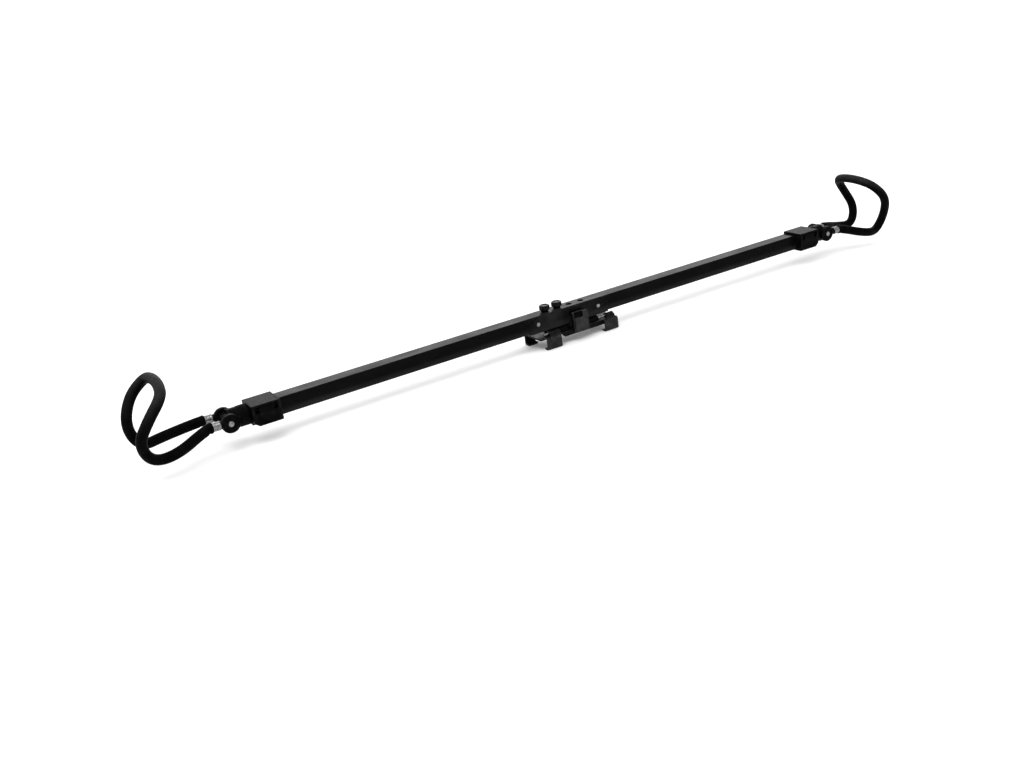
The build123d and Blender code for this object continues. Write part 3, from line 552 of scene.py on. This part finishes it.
def add_shaft():
    """Bright round shaft under the saddle, with chamfered ends."""
    low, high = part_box("jaw_shaft")
    middle = box_centre("jaw_shaft")
    half = (high[0] - low[0]) / 2 / MM
    radius = (high[2] - low[2]) / 2 / MM
    end = [(0.0, half), (radius - SHAFT_CHAMFER, half), (radius, half - SHAFT_CHAMFER)]
    other = [(wide, -height) for wide, height in reversed(end)]
    shape = bmesh.new()
    lathe(shape, end + other, towards(middle, (1, 0, 0)))
    piece = new_piece("polished_shaft", shape, "front_jaws", "bright_steel", ["jaw_shaft"])
    round_edges(piece, 0.15 * MM)


def add_hook_pin(side):
    """Clevis pin through eyes and tongue, with a domed head at each end."""
    low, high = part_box(f"{side}_hook_pin")
    centre = box_centre(f"{side}_hook_pin")
    half = (high[1] - low[1]) / 2 / MM
    seat = half - PIN_HEAD_RISE
    head = dome(PIN_HEAD_RADIUS, PIN_HEAD_RISE, seat)
    shape = bmesh.new()
    shank = [(PIN_RADIUS, 0.0), (PIN_RADIUS, seat - 0.05)]
    for way in (-1, 1):
        lathe(shape, shank + head, towards(centre, (0, way, 0)))
    new_piece(f"{side}_clevis_pin", shape, f"{side}_hook", "bright_steel", [f"{side}_hook_pin"])


def ferrule_profile(length, outer, bore):
    """A crimped ferrule: rolled ends and three shallow grooves."""
    points = [(bore, 0.4), (bore + 0.9, 0.0), (outer - 0.6, 0.0), (outer, 0.7)]
    for groove in (0.30, 0.52, 0.74):
        centre = groove * length
        points += [(outer, centre - 0.95), (outer - 0.5, centre - 0.45), (outer - 0.5, centre + 0.45),
                   (outer, centre + 0.95)]
    points += [(outer, length - 0.7), (outer - 0.6, length), (bore + 0.9, length), (bore, length - 0.4)]
    return points


def add_ferrules(side):
    """The two ferrules where the loop's legs meet the eyes."""
    way = SIDES[side]
    lift = Matrix.Rotation(math.radians(-way * LOOP_LIFT[side]), 4, "Y")
    pin = Vector((way * PIVOT_X, 0, 0)) * MM
    profile = ferrule_profile(FERRULE_LENGTH, FERRULE_RADIUS, ROD_RADIUS + 0.1)
    shape = bmesh.new()
    for out in (-LEG[0], LEG[0]):
        start = Vector((way * (FERRULE_START - PIVOT_X), out, LEG[1])) * MM
        seat = pin + lift @ start + Vector((0, 0, AXIS_Z))
        turn = Matrix.Translation(seat) @ lift @ towards((0, 0, 0), (way, 0, 0))
        lathe(shape, profile, turn, hollow=True)
    piece = new_piece(f"{side}_ferrules", shape, f"{side}_hook", "bright_steel", [f"{side}_hook_ferrules"])
    soften(piece)


def add_lock_ring(side):
    """Scalloped ring with plain rims at both ends of its grip."""
    way = SIDES[side]
    length = RING_LENGTH
    outer = RING_RADIUS
    bore = RING_BORE

    def scallops(angle, height):
        inset = min(height, length - height)
        depth = RING_FLUTE_DEPTH * min(1.0, max(0.0, (inset - 1.0) / 1.4))
        return 1.0 - depth * (0.5 - 0.5 * math.cos(RING_FLUTES * angle)) ** 0.6

    grip = [(outer - 0.9, 0.0), (outer - 0.2, 0.5), (outer, 1.2)]
    grip += [(outer, 1.2 + (length - 2.4) * step / 6) for step in range(1, 7)]
    grip += [(outer - 0.2, length - 0.5), (outer - 0.9, length)]
    inside = [(bore + 0.7, length), (bore, length - 0.6)]
    profile = [(bore, 0.6), (bore + 0.7, 0.0)] + grip + inside
    shape = bmesh.new()
    turn = towards(Vector((way * RING_START * MM, 0, AXIS_Z)), (way, 0, 0))
    lathe(shape, profile, turn, 192, scallops, hollow=True)
    new_piece(f"{side}_grip_ring", shape, f"{side}_lock_ring", "black_nylon", [f"{side}_lock_ring"])


def add_knob(node, name):
    """Moulded thumbscrew: ribbed head with a dished top, on a plain neck and a stud."""
    low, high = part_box(node)
    centre = box_centre(node)
    seat = Vector((centre.x, centre.y, AXIS_Z + KNOB_SEAT * MM))
    neck = KNOB_NECK
    top = (high[2] - seat.z) / MM

    def ribs(angle, height):
        inside = min(height - neck, top - height)
        depth = KNOB_RIB_DEPTH * min(1.0, max(0.0, inside / 1.5))
        return 1.0 - depth * (0.5 - 0.5 * math.cos(KNOB_RIBS * angle)) ** 0.7

    profile = [(STUD_RADIUS, -STUD_LENGTH), (STUD_RADIUS, -0.1), (7.2, 0.0), (KNOB_NECK_RADIUS, 0.35),
               (KNOB_NECK_RADIUS, neck - 0.3), (9.4, neck), (10.3, neck + 0.5), (KNOB_RADIUS, neck + 1.4)]
    profile += [(KNOB_RADIUS, neck + 1.4 + (top - neck - 3.2) * step / 4) for step in range(1, 5)]
    profile += [(10.2, top - 0.9), (9.3, top - 0.15), (8.4, top), (7.4, top - 0.3), (6.6, top - 1.1),
                (3.0, top - 1.3), (0.0, top - 1.3)]
    shape = bmesh.new()
    lathe(shape, profile, towards(seat, (0, 0, 1)), 112, ribs)
    new_piece(name, shape, node, "knob_plastic", [node])


def add_ribs(name, side, lowest, size, pitch, count, body, slot, rounding):
    """Small moulded ribs of one size, in millimetres, one above another, with rounded edges."""
    x, y, above_axis = lowest
    scale = Matrix.Diagonal((*(Vector(size) * MM), 1))
    shape = bmesh.new()
    for n in range(count):
        middle = Vector((SIDES[side] * x, y, AXIS_Z / MM + above_axis + pitch * n))
        bmesh.ops.create_cube(shape, size=1, matrix=Matrix.Translation(middle * MM) @ scale)
    piece = new_piece(name, shape, body, slot, smooth=False)
    round_edges(piece, rounding * MM, 3, 30)


def add_collar_details(side):
    """Grip ribs across the collar's inboard end, and finger ribs on the cam lever."""
    add_ribs(f"{side}_collar_grips", side, COLLAR_GRIP_PLACE, COLLAR_GRIP, COLLAR_GRIP_PITCH,
             COLLAR_GRIP_COUNT, "bar", "black_nylon", 0.5)
    add_ribs(f"{side}_lever_ribs", side, FINGER_RIB_PLACE, FINGER_RIB, FINGER_RIB_PITCH,
             FINGER_RIB_COUNT, f"{side}_cam_lever", "black_nylon", 0.3)


add_rivets()
add_shaft()
add_knob("thumbscrew_outer", "outer_knob")
add_knob("thumbscrew_inner", "inner_knob")
for side_name in SIDES:
    add_hose(side_name)
    add_hook_pin(side_name)
    add_ferrules(side_name)
    add_lock_ring(side_name)
    add_collar_details(side_name)


# ---- stage ------------------------------------------------------------------------------
BEND_Y = 2.2                       # the paper's floor ends and its bend begins here
BEND_RADIUS = 2.5
BEND_STEPS = 15
PAPER_FRONT = -9.0
PAPER_TOP = 9.0
PAPER_HALF_WIDTH = 14.0
WORLD_STRENGTH = 1.15
KEY_POWER = 45
CARD_POWER = 36


def sweep_backdrop():
    """A pale paper sweep: the floor runs back and curves up into a wall with no seam."""
    profile = [(PAPER_FRONT, 0.0), (-2.0, 0.0), (0.0, 0.0), (BEND_Y, 0.0)]
    for n in range(1, BEND_STEPS + 1):
        angle = math.radians(90 / BEND_STEPS * n)
        profile.append((BEND_Y + BEND_RADIUS * math.sin(angle), BEND_RADIUS - BEND_RADIUS * math.cos(angle)))
    profile.append((BEND_Y + BEND_RADIUS, PAPER_TOP))
    shape = bmesh.new()
    rows = [[shape.verts.new((x, y, z)) for y, z in profile] for x in (-PAPER_HALF_WIDTH, PAPER_HALF_WIDTH)]
    for n in range(len(profile) - 1):
        shape.faces.new((rows[0][n], rows[1][n], rows[1][n + 1], rows[0][n + 1]))
    mesh = bpy.data.meshes.new("paper_sweep")
    shape.to_mesh(mesh)
    shape.free()
    mesh.shade_smooth()
    paper = bpy.data.objects.new("paper_sweep", mesh)
    bpy.context.scene.collection.objects.link(paper)
    shade = Shade("white_paper", (0.9, 0.9, 0.9), 0.8)
    shade.colour(shade.ramp(shade.noise(2), 0.3, 0.7, (0.89, 0.89, 0.89), (0.91, 0.91, 0.91)))
    mesh.materials.append(shade.material)


def soft_box(name, place, aim, size, power):
    """A rectangular area light at a place, turned to an aim."""
    data = bpy.data.lights.new(name, "AREA")
    data.shape = "RECTANGLE"
    data.size, data.size_y = size
    data.energy = power
    lamp = bpy.data.objects.new(name, data)
    lamp.location = place
    lamp.rotation_mode = "QUATERNION"
    lamp.rotation_quaternion = (Vector(aim) - Vector(place)).to_track_quat("-Z", "Y")
    bpy.context.scene.collection.objects.link(lamp)


def studio():
    """Even white surroundings, a soft key and a long card behind that lights the top faces."""
    world = bpy.data.worlds.new("studio")
    world.use_nodes = True
    background = world.node_tree.nodes["Background"]
    background.inputs["Color"].default_value = (1, 1, 1, 1)
    background.inputs["Strength"].default_value = WORLD_STRENGTH
    bpy.context.scene.world = world
    middle = (0, 0, AXIS_Z)
    soft_box("key", (-1.2, -0.8, 2.8), middle, (2.4, 1.6), KEY_POWER)
    soft_box("rear_card", (1.1, 2.1, 1.0), middle, (4.6, 0.7), CARD_POWER)
    bpy.context.scene.view_settings.view_transform = "Standard"


SENSOR_WIDTH = 36
LENS = 39.47
CAMERA_PLACE = (-1.1295, -1.8282, 0.6872 + AXIS_Z)
CAMERA_LOOKS = (0.44429, 0.82126, -0.35797)
CAMERA_ROLL = -7.94                # degrees about the line of sight


def camera():
    """The viewpoint: from the front left and above, tilted a little."""
    data = bpy.data.cameras.new("camera")
    data.sensor_width = SENSOR_WIDTH
    data.lens = LENS
    eye = bpy.data.objects.new("camera", data)
    eye.location = CAMERA_PLACE
    roll = Quaternion((0, 0, 1), math.radians(CAMERA_ROLL))
    eye.rotation_mode = "QUATERNION"
    eye.rotation_quaternion = Vector(CAMERA_LOOKS).to_track_quat("-Z", "Y") @ roll
    bpy.context.scene.collection.objects.link(eye)
    bpy.context.scene.camera = eye


sweep_backdrop()
studio()
camera()
